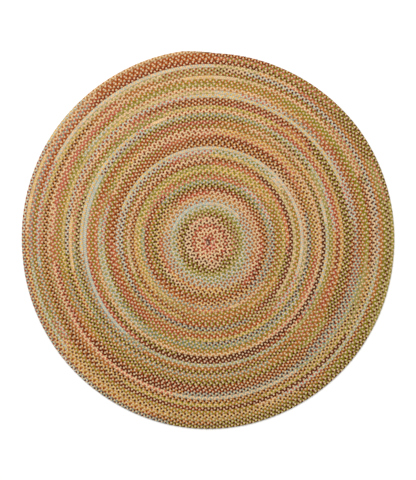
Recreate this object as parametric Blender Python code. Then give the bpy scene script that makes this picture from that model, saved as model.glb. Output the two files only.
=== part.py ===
"""Round braided rug: one long flat braid, coiled from the middle and laced course to course.

The rug lies flat on its own underside. Its top is ridged by the courses of the coil, and
the braid's tapered end is laced down at the top of the rim. Metres, +Z up, the finished
rug's middle at the origin and the underside at z = 0.
"""
import math

import bpy
from mathutils import Vector

# Driving sizes
RUG_DIAMETER = 1.676      # mean width across the finished rug, 5 ft 6 in
THICKNESS = 0.0095        # the braid's own height at the crest of a course
GROOVE_DEPTH = 0.0036     # how far the lacing draws the valley between two courses down
COURSES = 51.496          # turns of braid from the middle out to the tapered end
TIP_TURNS = 0.024         # share of a turn over which the braid's end narrows away
END_ANGLE = 89.4          # where that end meets the rim, degrees from +X
OUT_OF_ROUND = 0.0057     # the rug is this share longer along Y and shorter along X
COIL_DRIFT = 0.0107       # the first courses lie this far off the finished rug's middle, along -Y

# Worked out from them
BRAID_WIDTH = RUG_DIAMETER / 2 / COURSES
GROOVE_HEIGHT = THICKNESS - GROOVE_DEPTH

# How the solid is divided
STEPS_PER_TURN = 48
FIRST_COURSE = 0.996      # the courses are ridged from here, round a button middle
BUTTON_AT = (0.6, -0.3)   # the button's highest point: turns along the coil, braid widths out
BUTTON_HEIGHT = THICKNESS - 0.0010

# The rim's section: braid widths out from the course's middle line, share of the thickness
RIM_SECTION = (
    ("shoulder", 0.36, 0.72),
    ("edge", 0.50, 0.42),
    ("foot", 0.36, 0.00),
)

YARN_MIX = (0.427, 0.265, 0.130, 1.0)   # the yarns' mean colour, linear
SMOOTH_BELOW = math.radians(40)


def on_rug(turn, offset, height):
    """A point of the rug: turns along the coil, metres out from the course's middle line."""
    angle = math.radians(END_ANGLE) + math.tau * (COURSES - turn)
    radius = BRAID_WIDTH * turn + offset
    radius *= 1 - OUT_OF_ROUND * math.cos(2 * angle)
    drift = COIL_DRIFT * ((turn / COURSES) ** 2 - 1)
    return Vector((radius * math.cos(angle), radius * math.sin(angle) + drift, height))


def fullness(turn):
    """Share of the braid's full width at a turn: 1, and down to 0 along the tapered end."""
    left = max(0.0, COURSES - turn)
    return math.sin(math.pi / 2 * min(1.0, left / TIP_TURNS))


def coil_rows():
    """Vertices of the groove inside each course, of its crest and of the rim round the last turn."""
    rows = {"groove": [], "crest": [], "shoulder": [], "edge": [], "foot": []}
    steps = round((COURSES - FIRST_COURSE) * STEPS_PER_TURN)
    for step in range(steps):
        turn = FIRST_COURSE + step / STEPS_PER_TURN
        full = fullness(turn)
        inner_side = -BRAID_WIDTH / 2
        middle = inner_side + full * BRAID_WIDTH / 2
        rows["groove"].append(on_rug(turn, inner_side, GROOVE_HEIGHT))
        rows["crest"].append(on_rug(turn, middle, GROOVE_HEIGHT + GROOVE_DEPTH * full))
        if step >= steps - STEPS_PER_TURN:
            for name, out, up in RIM_SECTION:
                rows[name].append(on_rug(turn, middle + out * full * BRAID_WIDTH, up * THICKNESS))
    return rows, steps


def rug_mesh():
    """One closed skin: ridged top, rounded rim and flat underside."""
    rows, steps = coil_rows()
    first_index = {}
    points = []
    for name, row in rows.items():
        first_index[name] = len(points)
        points += row
    last_turn = steps - STEPS_PER_TURN

    def rim(name, step):
        return first_index[name] + (step - last_turn) % STEPS_PER_TURN

    def inside(name, step):
        """Groove or crest at a step. Past the tapered end both run into the rim."""
        return first_index[name] + step if step < steps else rim("shoulder", step)

    def outside(step):
        """What lies outside a crest: the next course's groove, or the rim."""
        return inside("groove", step + STEPS_PER_TURN) if step < last_turn else rim("shoulder", step)

    faces = []

    def add(*corners):
        """A face that drops repeated corners, where a strip closes to a point."""
        kept = list(dict.fromkeys(corners))
        if len(kept) > 2:
            faces.append(kept)

    for step in range(steps):
        after = step + 1
        add(inside("groove", step), inside("groove", after), inside("crest", after),
            inside("crest", step))
        add(inside("crest", step), inside("crest", after), outside(after), outside(step))

    for step in range(last_turn, steps):
        for upper, lower in (("shoulder", "edge"), ("edge", "foot")):
            add(rim(upper, step), rim(upper, step + 1), rim(lower, step + 1), rim(lower, step))

    button_turn, button_out = BUTTON_AT
    points.append(on_rug(button_turn, button_out * BRAID_WIDTH, BUTTON_HEIGHT))
    middle = len(points) - 1
    hub = [inside("groove", step) for step in range(STEPS_PER_TURN + 1)] + [inside("crest", 0)]
    for corner, following in zip(hub, hub[1:] + hub[:1]):
        add(middle, following, corner)

    faces.append([rim("foot", step) for step in range(last_turn, steps)])

    mesh = bpy.data.meshes.new("braided_rug")
    mesh.from_pydata(points, [], faces)
    mesh.validate()
    mesh.shade_smooth()
    mesh.set_sharp_from_angle(angle=SMOOTH_BELOW)
    return mesh


def braid_material():
    material = bpy.data.materials.new("braid_yarn")
    material.use_nodes = True
    shader = material.node_tree.nodes["Principled BSDF"]
    shader.inputs["Base Color"].default_value = YARN_MIX
    shader.inputs["Roughness"].default_value = 0.95
    shader.inputs["Metallic"].default_value = 0.0
    return material


def main():
    for old in list(bpy.data.objects):
        bpy.data.objects.remove(old, do_unlink=True)
    rug = bpy.data.objects.new("braided_rug", rug_mesh())
    rug.data.materials.append(braid_material())
    bpy.context.scene.collection.objects.link(rug)


main()
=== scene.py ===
"""Looks of the round braided rug: one long three-strand braid, coiled from the middle.

Each strand is a soft tube that follows its own way over and under the other two, and its yarn
changes wherever the braider joined on a new strip. Metres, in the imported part's frame.
"""
import math

import bpy
import numpy as np
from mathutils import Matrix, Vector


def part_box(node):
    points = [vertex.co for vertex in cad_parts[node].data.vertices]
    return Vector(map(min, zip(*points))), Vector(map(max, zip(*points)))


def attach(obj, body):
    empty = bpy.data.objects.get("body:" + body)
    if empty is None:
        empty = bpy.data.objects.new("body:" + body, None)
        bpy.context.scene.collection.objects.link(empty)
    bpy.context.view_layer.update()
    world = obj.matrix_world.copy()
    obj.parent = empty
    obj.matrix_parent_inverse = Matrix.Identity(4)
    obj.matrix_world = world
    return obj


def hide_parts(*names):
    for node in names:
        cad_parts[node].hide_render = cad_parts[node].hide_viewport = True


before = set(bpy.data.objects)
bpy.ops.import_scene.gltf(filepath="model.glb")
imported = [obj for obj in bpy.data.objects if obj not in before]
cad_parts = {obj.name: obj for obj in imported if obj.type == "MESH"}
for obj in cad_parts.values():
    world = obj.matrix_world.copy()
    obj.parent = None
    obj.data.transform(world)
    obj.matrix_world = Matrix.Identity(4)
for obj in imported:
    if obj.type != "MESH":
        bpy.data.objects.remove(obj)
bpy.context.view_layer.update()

# The coil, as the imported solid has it
COURSES = 51.496          # turns of braid from the middle out to the tapered end
TIP_TURNS = 0.024         # share of a turn over which the braid's end narrows away
END_ANGLE = 89.4          # where that end meets the rim, degrees from +X
OUT_OF_ROUND = 0.0057     # the rug is this share longer along Y and shorter along X
COIL_DRIFT = 0.0107       # the first courses lie this far off the finished rug's middle, along -Y
rug_low, rug_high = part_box("braided_rug")
RUG_SIZE = rug_high - rug_low
BRAID_WIDTH = (RUG_SIZE.x + RUG_SIZE.y) / 4 / COURSES
THICKNESS = RUG_SIZE.z

# The start of the coil: the braid folds back on itself, so the middle is a slip and no round hole
FOLD = 0.009              # half the slip's length
FOLD_REACH = 0.045        # how far out the coil is still drawn out of round by it
START_TURN = 0.05         # the braid starts this share of a turn out from the coil's middle
FULL_TURN = 0.60          # and reaches its full width here
START_WIDTH = 0.60        # share of its full width that it starts with

# The plait
PLAIT_LENGTH = 0.0272     # a strand crosses over and comes back within this length of braid
STRAND_WIDTH = 0.0094     # one strand's section, pressed flat by its neighbours
STRAND_HEIGHT = 0.0050
SECTION = 0.90            # the four-sided section's share of the rounded one it stands for
INTERLOCK = 0.0006        # how far a strand's loops reach in between those of the next course
RIM_TUCK = 0.0006         # how far the last course's loops are drawn in instead
LOOP_FULLNESS = 0.10      # how squarely a strand turns at the braid's edge
RINGS_PER_PLAIT = 8       # a strand's ring of points at each edge, crossing, top and bottom
SIDES = 4                 # points in a ring, at the section's corners
LOBES = ((3, 0.0012, 67), (6, 0.0010, 187))   # soft waves of the rim: count, height, lean in degrees
LOBE_FADE = 4             # power of the way out with which the waves grow toward the rim
TIP_WIDTH = 0.10          # share of the braid's width that is left at its very end
THIN_HEIGHT = 0.5         # share of its height that a braid with no width left would keep
STRANDS = ("sand_strand", "first_strand", "second_strand")
PLAITS = math.pi * BRAID_WIDTH * (COURSES**2 - START_TURN**2) / PLAIT_LENGTH    # in the whole rug

# The hand that made it: sizes of its unevenness, and over how many plaits each one drifts
SEED = 5
TENSION_DRIFT = 0.004     # the braider's pull moves the crossings along by up to this
PULLS = (9, 23, 61)       # and it comes and goes this slowly, in plaits to a radian
UNEVEN_WIDTH = (0.05, 3)  # share of a strand's width
UNEVEN_LACING = (0.0003, 7)
JOIN_STAGGER = 0.045      # where both strands change, the second one is joined this much further on
DYE_LOTS = 0.05           # share by which one strip of a yarn is lighter or darker than the next
HEATHER = (0.07, 0.5)     # the same within a strip
HUE_HEATHER = (0.035, 0.5)
LACING_DRAW = 1           # a random draw of its own for each unevenness, counted on from these
WIDTH_DRAW = 2
HEATHER_DRAW = 10
HUE_DRAW = 20

# The ground: the yarn seen deep between the strands
GROUND_STEPS = 96         # a turn of the ground sheet, in straight steps
GROUND_INSET = 0.003      # how far it stays inside the rim
GROUND_THICKNESS = 0.0024
GROUND_HEIGHT = 0.58      # share of the thickness
GROUND_SHADE = 0.85       # painted shade: its share of the strands' own colour, as it lies deep between them
SLIP_TURNS = 2.4          # painted shade darkens it further inside this turn, down in the slip

# The yarn's own surface, and the shade painted on it at the strands' edges and between its plies
PLIES = 6                 # soft plies round a strand
PLY_TWIST = 0.035         # length of strand in which the plies turn once by one ply
PLY_RELIEF = 0.0006       # depth between two plies
RELIEF_STRENGTH = 0.7
RIDGE_RELIEF = 0.75       # share of that depth that the plies take, and the hairs on them
HAIR_RELIEF = 0.5
HAIRS = (140, 4.0, 3.0)   # noise drawn out along the plies: to a metre, to a ply, and its detail
FLECKS = (45, 0.8, 1.0)   # the same for the yarn's lighter and darker flecks
# The crown and ridge shares are painted shade: the yarn is drawn darker toward a strand's edges, where
# it meets its neighbours, and in the grooves between its plies.
LEAST_SHADE = 0.63        # share of its colour that the yarn shows at its darkest
CROWN_SHADE = 0.10        # and what is added on the strand's crown, a ply's ridge, a hair and a fleck
RIDGE_SHADE = 0.18
HAIR_SHADE = 0.18
FLECK_SHADE = 0.20
MATT = 0.97               # roughness between the hairs
HAIR_GLOSS = 0.12         # and how much less it is on them
SPECULAR = 0.02

BAKE_COLUMNS = 250        # rings of a strand to a row of its bake map
BAKE_GAP = 0.05           # bare share of a row, above and below
CAP_CELLS = (2, 4)        # the two end caps' places in the map, in cells after the last ring
CAP_SPARE = 6             # cells kept free for them
CAP_LIFT = 0.25           # a cap's foot and height, as shares of its row
CAP_HEIGHT = 0.5

# The yarns, as sRGB
YARNS = {
    "sand": (215, 185, 145),
    "peach": (220, 185, 140),
    "gold": (210, 170, 95),
    "caramel": (175, 110, 40),
    "rust": (165, 90, 30),
    "brick": (150, 60, 15),
    "rose": (185, 95, 70),
    "blush": (210, 135, 115),
    "mahogany": (110, 40, 5),
    "brown": (90, 35, 5),
    "olive": (135, 120, 20),
    "sage": (160, 145, 75),
    "celadon": (180, 185, 170),
    "slate": (140, 150, 135),
}

# The coloured strands' yarns, turn by turn from the middle. An entry is the share of the turn, in
# hundredths, at which a strip is joined on, and both strands' yarns from there on.
BRAIDERS_CHART = {
    0: "00 brick rose, 20 blush rose, 45 blush brick",
    1: "00 brick rose, 12 brick blush, 50 brick rose, 65 brick peach",
    2: "00 brick peach, 45 rose peach, 60 brick peach",
    3: "00 brick peach, 40 mahogany peach, 50 brick peach, 62 brick rose",
    4: "00 rose mahogany, 35 brick sand, 50 brown rose, 62 brown peach",
    5: "00 mahogany peach, 50 brown peach, 62 brown sand, 85 rose peach",
    6: "00 mahogany olive, 20 rose olive, 35 mahogany peach, 50 mahogany olive, 62 brown olive, "
       "85 mahogany sage",
    7: "00 mahogany olive, 10 mahogany sage, 30 brown olive, 62 mahogany gold, 75 brown sage, "
       "85 olive sage",
    8: "00 olive sage, 62 olive celadon, 90 sage celadon",
    9: "00 olive celadon, 62 celadon sage, 80 celadon celadon",
    10: "00 celadon peach, 14 celadon rust, 30 celadon olive, 50 celadon caramel, 60 celadon rust, "
        "76 celadon caramel, 92 celadon rust",
    11: "00 caramel celadon, 12 rust celadon, 66 caramel celadon, 78 caramel peach",
    12: "00 caramel peach, 13 rust peach, 28 caramel celadon, 42 rust gold, 50 brick gold, "
        "60 rust rose, 76 rust sage, 86 brick rose",
    13: "00 brick peach, 36 mahogany gold, 50 brown peach, 66 brown gold, 84 mahogany rust",
    14: "00 mahogany brick, 10 mahogany rust, 22 brick rose, 29 mahogany rose, 36 brick olive, "
        "60 olive brown",
    15: "00 brown olive, 15 brown caramel, 31 brown brick, 36 brown rust, 44 mahogany rust, "
        "65 rust olive, 85 slate olive",
    16: "00 slate olive, 22 caramel slate, 31 rust slate, 35 mahogany gold, 50 brick caramel, "
        "64 brick mahogany, 85 rose sage",
    17: "00 rust rose, 08 rose celadon, 19 mahogany slate, 35 rust slate, 42 slate caramel, "
        "70 slate sage, 78 rose sage, 88 rust olive, 95 brick olive",
    18: "00 brick sage, 10 rust olive, 25 brick sage, 32 rust peach, 42 gold rose, 52 caramel sage, "
        "58 gold sage, 67 gold olive",
    19: "00 olive gold, 11 caramel gold, 15 olive rust, 35 caramel olive, 50 caramel sage, "
        "62 gold caramel, 76 gold sage, 80 olive sage",
    20: "00 olive gold, 32 gold caramel, 41 rust caramel, 54 mahogany caramel, 78 mahogany rust",
    21: "00 rust rose, 12 rose caramel, 25 brown olive, 32 brick olive, 55 olive gold, 66 sage sand, "
        "75 rust peach, 85 mahogany peach",
    22: "00 mahogany rust, 10 brown mahogany, 30 mahogany mahogany, 38 brick olive, 50 brick rust, "
        "55 rose rust, 65 rust brick, 72 rust olive, 80 brick olive, 92 rose sage",
    23: "00 sage gold, 15 sage peach, 35 mahogany sage, 42 mahogany slate, 50 brown slate, "
        "66 brown celadon, 80 mahogany celadon, 92 celadon rose",
    24: "00 celadon olive, 12 peach sage, 15 caramel sage, 18 caramel olive, 30 olive rust, "
        "34 rust sage, 38 olive rust, 47 rust sage, 72 celadon rust, 80 celadon gold, 92 celadon peach",
    25: "00 celadon gold, 08 celadon peach, 30 rose celadon, 37 rust rose, 39 rust brick, "
        "70 rust rose, 74 mahogany rust, 80 mahogany caramel",
    26: "00 brown rust, 11 brown peach, 14 rust peach, 24 sage peach, 30 olive gold, 53 rose olive, "
        "60 brick rose, 75 brick rust, 96 rust brown",
    27: "00 brown caramel, 20 brown slate, 50 slate olive, 54 rust olive, 60 mahogany olive, "
        "70 brick olive, 92 rose rust, 96 brick rust",
    28: "00 brick mahogany, 12 rose caramel, 16 rust olive, 33 olive celadon, 40 slate sage, "
        "46 slate olive, 65 celadon sage, 74 rose celadon, 80 rust peach, 84 mahogany peach, "
        "90 brick peach, 98 rose peach",
    29: "00 rose gold, 14 mahogany gold, 25 brick rose, 32 caramel olive, 57 slate sage, "
        "60 celadon sage, 78 caramel sage, 82 olive gold, 87 brick peach",
    30: "00 caramel gold, 14 caramel peach, 30 peach rose, 40 caramel peach, 70 rose caramel, "
        "80 rust olive, 90 brick olive",
    31: "00 rust olive, 10 brick olive, 16 brown olive, 22 brown brown, 54 brown olive, "
        "66 olive rust, 80 brick rust, 92 brick rose",
    32: "00 rust caramel, 05 rust peach, 12 caramel gold, 16 caramel peach, 19 peach celadon, "
        "22 sage celadon, 26 celadon gold, 30 slate rose, 35 brick peach, 38 brick mahogany, "
        "43 brown mahogany, 58 brick rose, 72 rose caramel, 76 rose sage, 79 olive sage, "
        "90 mahogany olive",
    33: "00 mahogany olive, 04 rust olive, 08 brown sage, 15 sage sage, 20 olive sage, 34 sage sage, "
        "37 olive celadon, 45 celadon sage, 57 slate sage, 61 celadon celadon, 83 mahogany celadon, "
        "91 celadon olive, 96 slate olive",
    34: "00 slate olive, 06 celadon olive, 14 celadon sage, 18 celadon rose, 22 rust gold, "
        "28 rust caramel, 43 mahogany caramel, 48 rust caramel, 58 slate caramel, 72 celadon gold, "
        "90 rose celadon, 91 peach peach, 94 brick peach",
    35: "00 peach rust, 06 brick rose, 24 mahogany brick, 28 brick rose, 33 rose olive, "
        "38 brown olive, 70 brown sage, 80 sage sage, 87 sage olive, 94 gold sage",
    36: "00 gold olive, 08 gold caramel, 28 rust caramel, 42 slate caramel, 64 slate olive, "
        "73 sage rose, 80 brick olive, 87 rose sage, 95 mahogany rust",
    37: "00 brick mahogany, 02 rose mahogany, 09 rose caramel, 12 brown olive, 33 rust olive, "
        "64 brick gold, 71 gold peach, 77 peach rust, 90 rust rose, 92 mahogany rust",
    38: "00 mahogany rust, 11 brown olive, 34 sage olive, 38 brown olive, 73 brown celadon, "
        "78 brick celadon, 93 rose celadon, 97 gold celadon",
    39: "00 celadon gold, 18 celadon rose, 20 mahogany celadon, 22 mahogany sage, 24 mahogany rust, "
        "48 brown rust, 50 brown brick, 56 olive rust, 62 olive caramel, 66 slate caramel, "
        "70 olive gold, 74 sage gold, 90 sage peach",
    40: "00 celadon gold, 03 rose celadon, 06 rust celadon, 08 rust slate, 13 brick celadon, "
        "23 brick slate, 30 brown slate, 38 brown caramel, 41 brown rust, 46 brown brick, "
        "57 brown rust, 63 caramel rust, 67 olive caramel, 80 olive sage, 84 sage celadon, "
        "88 sage peach, 91 peach rust",
    41: "00 caramel peach, 05 rust gold, 10 rust rose, 14 brick caramel, 18 mahogany caramel, "
        "25 brick slate, 38 brown slate, 52 brown caramel, 54 brown mahogany, 60 mahogany mahogany, "
        "63 mahogany brick, 66 mahogany rose, 72 rose olive, 80 rust sage, 86 brick olive, "
        "89 olive sage",
    42: "00 caramel olive, 14 brick olive, 20 rust olive, 28 slate sage, 40 slate peach, "
        "53 peach rose, 67 brick peach, 71 rose caramel, 75 rose peach, 78 rose rose, 90 olive caramel",
    43: "00 rust olive, 07 olive olive, 25 sage sage, 31 brown gold, 39 brown caramel, "
        "60 rust caramel, 66 rust sage, 73 rust peach, 97 peach gold",
    44: "00 peach sand, 02 sage peach, 05 peach rust, 18 mahogany rust, 26 caramel sage, "
        "31 sage sage, 33 olive gold, 44 olive caramel, 48 olive gold, 58 brown gold, 62 brown rust, "
        "70 brown caramel, 87 rust rose, 90 rust peach, 91 rust caramel, 94 rust sage",
    45: "00 brick olive, 12 rose sage, 18 brown peach, 28 brown gold, 34 brown mahogany, "
        "50 mahogany brick, 53 mahogany mahogany, 58 mahogany rust, 65 rust olive, 74 rose sage, "
        "78 sage gold, 86 sage peach, 95 brick sage",
    46: "00 brown peach, 03 brown celadon, 22 rust slate, 24 rust celadon, 26 celadon sage, "
        "38 celadon rose, 42 caramel peach, 45 olive caramel, 64 rose celadon, 66 rust slate, "
        "72 celadon rose, 82 celadon peach",
    47: "00 sage peach, 04 peach caramel, 07 rose rust, 10 rust caramel, 30 mahogany caramel, "
        "40 brown gold, 64 rose sage, 67 olive rust, 79 brick rust, 88 mahogany brick",
    48: "00 brown brick, 03 mahogany sage, 05 mahogany olive, 17 sage olive, 20 olive olive, "
        "38 caramel olive, 47 caramel sage, 53 caramel gold, 64 celadon sage, 72 slate rose, "
        "88 brick rust",
    49: "00 rose olive, 12 mahogany olive, 17 rose sage, 21 brown sage, 26 brown olive, "
        "28 brown sage, 32 brown olive, 49 brown caramel, 54 brick gold, 74 rust peach, "
        "76 gold peach, 82 rust peach, 89 brick rust",
    50: "00 rust mahogany, 04 brick olive, 12 brown olive, 21 olive sage, 33 brown olive, "
        "53 brown slate, 60 brown celadon, 63 brick slate, 75 brick celadon, 83 celadon gold, "
        "87 caramel peach",
}
CHART_STARTS = 0.5        # turns of coil inside the chart's first turn

# The studio
FLOOR_SIZE = 14.0
FLOOR_DROP = 0.0002       # the floor lies this far under the rug's underside
FLOOR_SHADE = 0.99
WORLD_STRENGTH = 0.72
LAMP_ENERGY = 112
LAMP_SIZE = 2.5
LAMP_PLACE = (-0.6, 1.6, 4.2)
LAMP_TILT = (-20, -8)

# The camera, straight above with a long lens
PHOTO_WIDTH = 416
METRES_PER_PIXEL = 0.0044655
RUG_MIDDLE = (0.81, -0.35)      # pixels right of and below the photo's middle
CAMERA_HEIGHT = 9.0
CAMERA_REACH = 100


# The yarns along each strand


def linear(srgb):
    """sRGB from 0 to 255 as the light it stands for."""
    share = np.asarray(srgb, float) / 255
    return np.where(share <= 0.04045, share / 12.92, ((share + 0.055) / 1.055) ** 2.4)


def strips():
    """(turn of the coil, yarn) for each strip of the two coloured strands, from the middle out.

    A yarn that goes on past a join stays in its own strand."""
    laid = ([], [])
    for turn, line in sorted(BRAIDERS_CHART.items()):
        for entry in line.split(","):
            at, *pair = entry.split()
            joined = CHART_STARTS + turn + int(at) / 100
            now = [strand[-1][1] if strand else None for strand in laid]
            straight = sum(a == b for a, b in zip(pair, now))
            crossed = sum(a == b for a, b in zip(reversed(pair), now))
            if crossed > straight:
                pair.reverse()
            both = not any(yarn == old for yarn, old in zip(pair, now))
            later = JOIN_STAGGER / (math.tau * BRAID_WIDTH * joined) if both else 0
            for strand, yarn, old, wait in zip(laid, pair, now, (0, later)):
                if yarn != old:
                    strand.append((joined + wait, yarn))
    return laid


def uneven(plaits, draw, amount, every):
    """A hand's unevenness at each place along the braid: new every few plaits, eased between."""
    knots = np.arange(0, PLAITS + 2 * every, every)
    chance = np.random.default_rng(SEED + draw)
    return np.interp(plaits, knots, chance.normal(0, amount, len(knots)))


def strand_colours(strand, turn, plaits):
    """Linear colour of a strand at each place: its strips' yarns, each with its own dye and heather."""
    laid = [(0.0, "sand")] if strand == 0 else strips()[strand - 1]
    dye = np.random.default_rng(SEED + strand)
    lots = np.array([linear(YARNS[yarn]) * dye.normal(1, DYE_LOTS) for _, yarn in laid])
    strip = np.searchsorted([start for start, _ in laid], turn, side="right") - 1
    colour = lots[np.clip(strip, 0, None)]
    heather = 1 + uneven(plaits, HEATHER_DRAW + strand, *HEATHER)
    first_hue = HUE_DRAW + 3 * strand
    hues = [uneven(plaits, first_hue + channel, *HUE_HEATHER) for channel in range(3)]
    return colour * heather[:, None] * (1 + np.stack(hues, axis=-1))


# The braid's way round the coil


def on_coil(turn, offset, height):
    """Points of the rug: turns along the coil, metres out from the braid's middle line, height."""
    angle = math.radians(END_ANGLE) + math.tau * (COURSES - turn)
    radius = (BRAID_WIDTH * turn + offset) * (1 - OUT_OF_ROUND * np.cos(2 * angle))
    waves = sum(rise * np.cos(count * angle - math.radians(lean)) for count, rise, lean in LOBES)
    radius += waves * (turn / COURSES) ** LOBE_FADE
    drawn_out = FOLD * np.exp(-((radius / FOLD_REACH) ** 2))
    drift = COIL_DRIFT * ((turn / COURSES) ** 2 - 1)
    x = radius * np.cos(angle)
    y = (radius + drawn_out) * np.sin(angle) + drift
    return np.stack([x, y, height], axis=-1)


def fullness(turn):
    """Share of the braid's full width: narrow at its start, and tapered away at its end."""
    end = np.clip((COURSES - turn) / TIP_TURNS, 0, 1)
    start = START_WIDTH + (1 - START_WIDTH) * np.clip((turn - START_TURN) / FULL_TURN, 0, 1)
    return np.minimum(start, TIP_WIDTH + (1 - TIP_WIDTH) * end)


def turn_at(plaits):
    """Turn of the coil that the braid has reached after so many plaits."""
    drift = sum(np.sin(plaits / slow + slow) for slow in PULLS) * TENSION_DRIFT / len(PULLS)
    along = plaits * PLAIT_LENGTH + drift
    return np.sqrt(START_TURN**2 + np.clip(along, 0, None) / (math.pi * BRAID_WIDTH))


def unit(vectors):
    return vectors / np.linalg.norm(vectors, axis=-1, keepdims=True)


class Strand:
    """One strand between two numbers of plaits: its rings' middles, and what goes with each ring."""

    def __init__(self, number, first, last):
        ring = np.arange(round(first * RINGS_PER_PLAIT), round(last * RINGS_PER_PLAIT) + 1)
        self.plaits = ring / RINGS_PER_PLAIT + number / len(STRANDS)
        self.turn = np.minimum(turn_at(self.plaits), COURSES)
        self.full = fullness(self.turn)
        self.tall = THIN_HEIGHT + (1 - THIN_HEIGHT) * self.full
        phase = ring * math.tau / RINGS_PER_PLAIT
        reach = np.where(self.turn < COURSES - 1, INTERLOCK, -RIM_TUCK)
        swing = (BRAID_WIDTH - STRAND_WIDTH) / 2 + reach
        across = (np.sin(phase) + LOOP_FULLNESS * np.sin(3 * phase)) / (1 - LOOP_FULLNESS)
        lift = (THICKNESS - STRAND_HEIGHT) / 2
        at_tip = self.turn > COURSES - TIP_TURNS
        inward = np.where(at_tip, (1 - self.full) * BRAID_WIDTH / 2, 0)
        laced = uneven(self.plaits, LACING_DRAW, *UNEVEN_LACING)
        offset = self.full * swing * across - inward + laced
        height = self.tall * (THICKNESS / 2 + lift * np.sin(2 * phase))
        self.middles = on_coil(self.turn, offset, height)
        self.colours = strand_colours(number, self.turn, self.plaits)
        self.width = STRAND_WIDTH * (1 + uneven(self.plaits, WIDTH_DRAW + number, *UNEVEN_WIDTH))

    def ring_points(self):
        """The four corners of each ring's section."""
        way = unit(np.gradient(self.middles, axis=0))
        side = unit(np.cross(way, (0, 0, 1)))
        up = np.cross(side, way)
        wide = side * (self.full * self.width * SECTION / 2)[:, None]
        high = up * (self.tall * STRAND_HEIGHT * SECTION / 2)[:, None]
        corners = [high - wide, high + wide, -high + wide, -high - wide]
        return np.stack([self.middles + corner for corner in corners], axis=1)

    def lengths(self):
        """Metres of strand from its first ring to each ring."""
        steps = np.linalg.norm(np.diff(self.middles, axis=0), axis=1)
        return np.concatenate([[0], np.cumsum(steps)])


# Meshes


def quad_corners(here, there, near, far):
    """UV places of the corners of a strand's quads, ring by ring and side by side."""
    corners = [(here, near), (there, near), (there, far), (here, far)]
    return np.stack([np.stack(np.broadcast_arrays(u, v), axis=-1) for u, v in corners], axis=2)


def square(u, v, size_u, size_v):
    return np.array([(u, v), (u + size_u, v), (u + size_u, v + size_v), (u, v + size_v)])


def add_uv(mesh, name, quads, caps):
    places = np.concatenate([quads.reshape(-1, 2), *caps])
    mesh.uv_layers.new(name=name).data.foreach_set("uv", places.ravel().astype(np.float32))


def map_strand(mesh, lengths):
    """Two maps: along and round the strand for its yarn, and row under row for baking."""
    side = np.arange(SIDES)[None, :]
    quads = quad_corners(lengths[:-1, None], lengths[1:, None], side / SIDES, (side + 1) / SIDES)
    cap = 1 / SIDES
    caps = [square(end, 0, STRAND_WIDTH, cap) for end in (lengths[0], lengths[-1])]
    add_uv(mesh, "strand", quads, caps)

    count = len(lengths) - 1
    rows = math.ceil((count + CAP_SPARE) / BAKE_COLUMNS)
    row, column = np.divmod(np.arange(count)[:, None], BAKE_COLUMNS)
    from_below = (side + 1) % SIDES / SIDES
    near = (row + BAKE_GAP + (1 - 2 * BAKE_GAP) * from_below) / rows
    far = near + (1 - 2 * BAKE_GAP) / SIDES / rows
    quads = quad_corners(column / BAKE_COLUMNS, (column + 1) / BAKE_COLUMNS, near, far)
    caps = []
    for cell in CAP_CELLS:
        row, column = divmod(count + cell, BAKE_COLUMNS)
        foot = (row + CAP_LIFT) / rows
        caps.append(square(column / BAKE_COLUMNS, foot, 1 / BAKE_COLUMNS, CAP_HEIGHT / rows))
    add_uv(mesh, "OFBake", quads, caps)


def dye(mesh, colours):
    """Writes a linear colour for each point of a mesh, for its yarn, with the ground's painted shade
    where it has one.
    """
    paint = np.ones((len(colours), 4), np.float32)
    paint[:, :3] = colours
    mesh.color_attributes.new("yarn", "FLOAT_COLOR", "POINT").data.foreach_set("color", paint.ravel())


def new_piece(name, points, faces, material):
    mesh = bpy.data.meshes.new(name)
    mesh.from_pydata(points.tolist(), [], faces)
    mesh.materials.append(material)
    piece = bpy.data.objects.new(name, mesh)
    bpy.context.scene.collection.objects.link(piece)
    return piece


def strand_piece(name, number, first, last, material):
    """One strand between two numbers of plaits, as a closed tube of rings."""
    strand = Strand(number, first, last)
    points = strand.ring_points().reshape(-1, 3)
    ring = np.arange(len(strand.turn) - 1)[:, None] * SIDES
    side = np.arange(SIDES)[None, :]
    following = (side + 1) % SIDES
    corners = [ring + side, ring + SIDES + side, ring + SIDES + following, ring + following]
    faces = np.stack(corners, axis=-1).reshape(-1, 4).tolist()
    faces.append(list(range(SIDES)))
    faces.append(list(range(len(points) - 1, len(points) - 1 - SIDES, -1)))
    piece = new_piece(name, points, faces, material)
    smooth = np.ones(len(faces), bool)
    smooth[-2:] = False
    piece.data.polygons.foreach_set("use_smooth", smooth)
    map_strand(piece.data, strand.lengths())
    dye(piece.data, np.repeat(strand.colours, SIDES, axis=0))
    return piece


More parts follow.
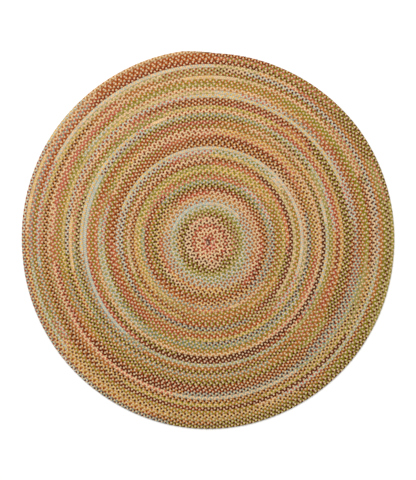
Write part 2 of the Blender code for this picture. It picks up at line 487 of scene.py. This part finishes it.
def ground_sheet(material):
    """The yarn deep between the strands, as one thin sheet out to just inside the rim."""
    steps = round((COURSES - CHART_STARTS) * GROUND_STEPS)
    turn = COURSES - np.arange(steps, -1, -1) / GROUND_STEPS
    rim_turn = turn[-GROUND_STEPS - 1 : -1]
    grooves = on_coil(turn, -BRAID_WIDTH / 2, np.full_like(turn, GROUND_HEIGHT * THICKNESS))
    rim_out = (fullness(rim_turn) - 0.5) * BRAID_WIDTH - GROUND_INSET
    rim = on_coil(rim_turn, rim_out, np.full_like(rim_turn, GROUND_HEIGHT * THICKNESS))
    first_rim = len(grooves)
    last_inside = steps - GROUND_STEPS

    def outside(step):
        if step <= last_inside:
            return step + GROUND_STEPS
        return first_rim + (step - last_inside) % GROUND_STEPS

    faces = [(step, step + 1, outside(step + 1), outside(step)) for step in range(steps)]
    faces.append(tuple(range(GROUND_STEPS, -1, -1)))
    ground = new_piece("braid_ground", np.concatenate([grooves, rim]), faces, material)
    turns = np.concatenate([turn, rim_turn])
    plaits = np.zeros_like(turns)
    numbers = range(len(STRANDS))
    mixed = sum(strand_colours(number, turns, plaits) for number in numbers) / len(STRANDS)
    # painted shade: the sheet is drawn darker than the yarns it mixes, and darker still toward the slip
    # in the middle
    shade = GROUND_SHADE * np.clip(turns / SLIP_TURNS, 0, 1)
    dye(ground.data, mixed * shade[:, None])
    wall = ground.modifiers.new("wall", "SOLIDIFY")
    wall.thickness = GROUND_THICKNESS
    wall.offset = 0
    bpy.context.view_layer.objects.active = ground
    bpy.ops.object.modifier_apply(modifier="wall")
    return ground


# Materials


class Value:
    """A socket's value in a material, for shader sums written as Python."""

    def __init__(self, tree, socket=None):
        self.tree = tree
        self.socket = socket

    def node(self, kind, settings=None, inputs=None, output=0):
        """A new node of this type: its settings first, then its sockets' values or links."""
        made = self.tree.nodes.new(kind)
        for name, setting in (settings or {}).items():
            setattr(made, name, setting)
        for name, value in (inputs or {}).items():
            if isinstance(value, Value):
                self.tree.links.new(value.socket, made.inputs[name])
            else:
                made.inputs[name].default_value = value
        return Value(self.tree, made.outputs[output])

    def math(self, operation, *values):
        return self.node("ShaderNodeMath", {"operation": operation}, dict(enumerate(values)))

    def __add__(self, other):
        return self.math("ADD", self, other)

    def __radd__(self, other):
        return self.math("ADD", other, self)

    def __sub__(self, other):
        return self.math("SUBTRACT", self, other)

    def __rsub__(self, other):
        return self.math("SUBTRACT", other, self)

    def __mul__(self, other):
        return self.math("MULTIPLY", self, other)

    def __rmul__(self, other):
        return self.math("MULTIPLY", other, self)


def yarn_material():
    """Soft plies side by side, turned a little: matt, flecked and faintly hairy, with painted shade at
    the strands' edges and in the grooves between the plies.
    """
    material = bpy.data.materials.new("braid_yarn")
    material.use_nodes = True
    tree = material.node_tree
    shader = tree.nodes["Principled BSDF"]
    start = Value(tree)
    dyed = start.node("ShaderNodeAttribute", {"attribute_name": "yarn"}, output="Color")
    place = start.node("ShaderNodeUVMap", {"uv_map": "strand"}, output="UV")
    along = place.node("ShaderNodeSeparateXYZ", inputs={0: place}, output="X")
    around = place.node("ShaderNodeSeparateXYZ", inputs={0: place}, output="Y")

    plies = around * PLIES + along * (1 / PLY_TWIST)
    ridge = start.math("ABSOLUTE", start.math("SINE", plies * math.pi))

    crown = start.math("ABSOLUTE", start.math("SINE", around * (SIDES * math.pi)))

    def fibres(lengthwise, across, detail):
        """Noise drawn out along the plies."""
        spot = start.node("ShaderNodeCombineXYZ", inputs={0: along * lengthwise, 1: plies * across})
        return start.node("ShaderNodeTexNoise", {"noise_dimensions": "2D"},
                          {"Vector": spot, "Scale": 1.0, "Detail": detail}, "Fac")

    hairs = fibres(*HAIRS)
    flecks = fibres(*FLECKS)
    # painted shade, darker at a strand's edges and between its plies
    painted_edge_and_ply_shade = LEAST_SHADE + CROWN_SHADE * crown + RIDGE_SHADE * ridge
    shade = painted_edge_and_ply_shade + HAIR_SHADE * hairs + FLECK_SHADE * flecks
    colour = start.node("ShaderNodeVectorMath", {"operation": "SCALE"}, {0: dyed, "Scale": shade})
    roughness = MATT - HAIR_GLOSS * hairs
    relief = RIDGE_RELIEF * ridge + HAIR_RELIEF * hairs
    depth = {"Strength": RELIEF_STRENGTH, "Distance": PLY_RELIEF, "Height": relief}
    bump = start.node("ShaderNodeBump", inputs=depth)

    tree.links.new(colour.socket, shader.inputs["Base Color"])
    tree.links.new(roughness.socket, shader.inputs["Roughness"])
    tree.links.new(bump.socket, shader.inputs["Normal"])
    shader.inputs["Specular IOR Level"].default_value = SPECULAR
    return material


# The studio and the camera


def stage():
    bpy.ops.object.select_all(action="DESELECT")
    bpy.ops.mesh.primitive_plane_add(size=FLOOR_SIZE, location=(0, 0, -FLOOR_DROP))
    floor = bpy.context.object
    floor.name = "floor"
    pale = bpy.data.materials.new("pale_floor")
    pale.use_nodes = True
    shader = pale.node_tree.nodes["Principled BSDF"]
    shader.inputs["Base Color"].default_value = (FLOOR_SHADE, FLOOR_SHADE, FLOOR_SHADE, 1)
    shader.inputs["Roughness"].default_value = 1.0
    floor.data.materials.append(pale)

    world = bpy.data.worlds.new("studio")
    world.use_nodes = True
    world.node_tree.nodes["Background"].inputs["Color"].default_value = (1, 1, 1, 1)
    world.node_tree.nodes["Background"].inputs["Strength"].default_value = WORLD_STRENGTH
    bpy.context.scene.world = world

    light = bpy.data.lights.new("overhead", "AREA")
    light.shape = "DISK"
    light.size = LAMP_SIZE
    light.energy = LAMP_ENERGY
    lamp = bpy.data.objects.new("overhead", light)
    lamp.location = LAMP_PLACE
    tilt_x, tilt_y = LAMP_TILT
    lamp.rotation_euler = (math.radians(tilt_x), math.radians(tilt_y), 0)
    bpy.context.scene.collection.objects.link(lamp)


def camera():
    data = bpy.data.cameras.new("camera")
    data.sensor_fit = "HORIZONTAL"
    data.lens = data.sensor_width * CAMERA_HEIGHT / (PHOTO_WIDTH * METRES_PER_PIXEL)
    data.clip_end = CAMERA_REACH
    eye = bpy.data.objects.new("camera", data)
    right, below = RUG_MIDDLE
    eye.location = (-right * METRES_PER_PIXEL, below * METRES_PER_PIXEL, CAMERA_HEIGHT)
    bpy.context.scene.collection.objects.link(eye)
    bpy.context.scene.camera = eye
    bpy.context.scene.view_settings.view_transform = "Standard"


camera()
stage()
yarn = yarn_material()
strands = []
for number, strand_name in enumerate(STRANDS):
    for part, first, last in (("inner", 0, PLAITS / 2), ("outer", PLAITS / 2, PLAITS)):
        strands.append(strand_piece(f"{strand_name}_{part}", number, first, last, yarn))
ground = ground_sheet(yarn)
for piece in [*strands, ground]:
    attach(piece, "root")
    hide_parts("braided_rug")
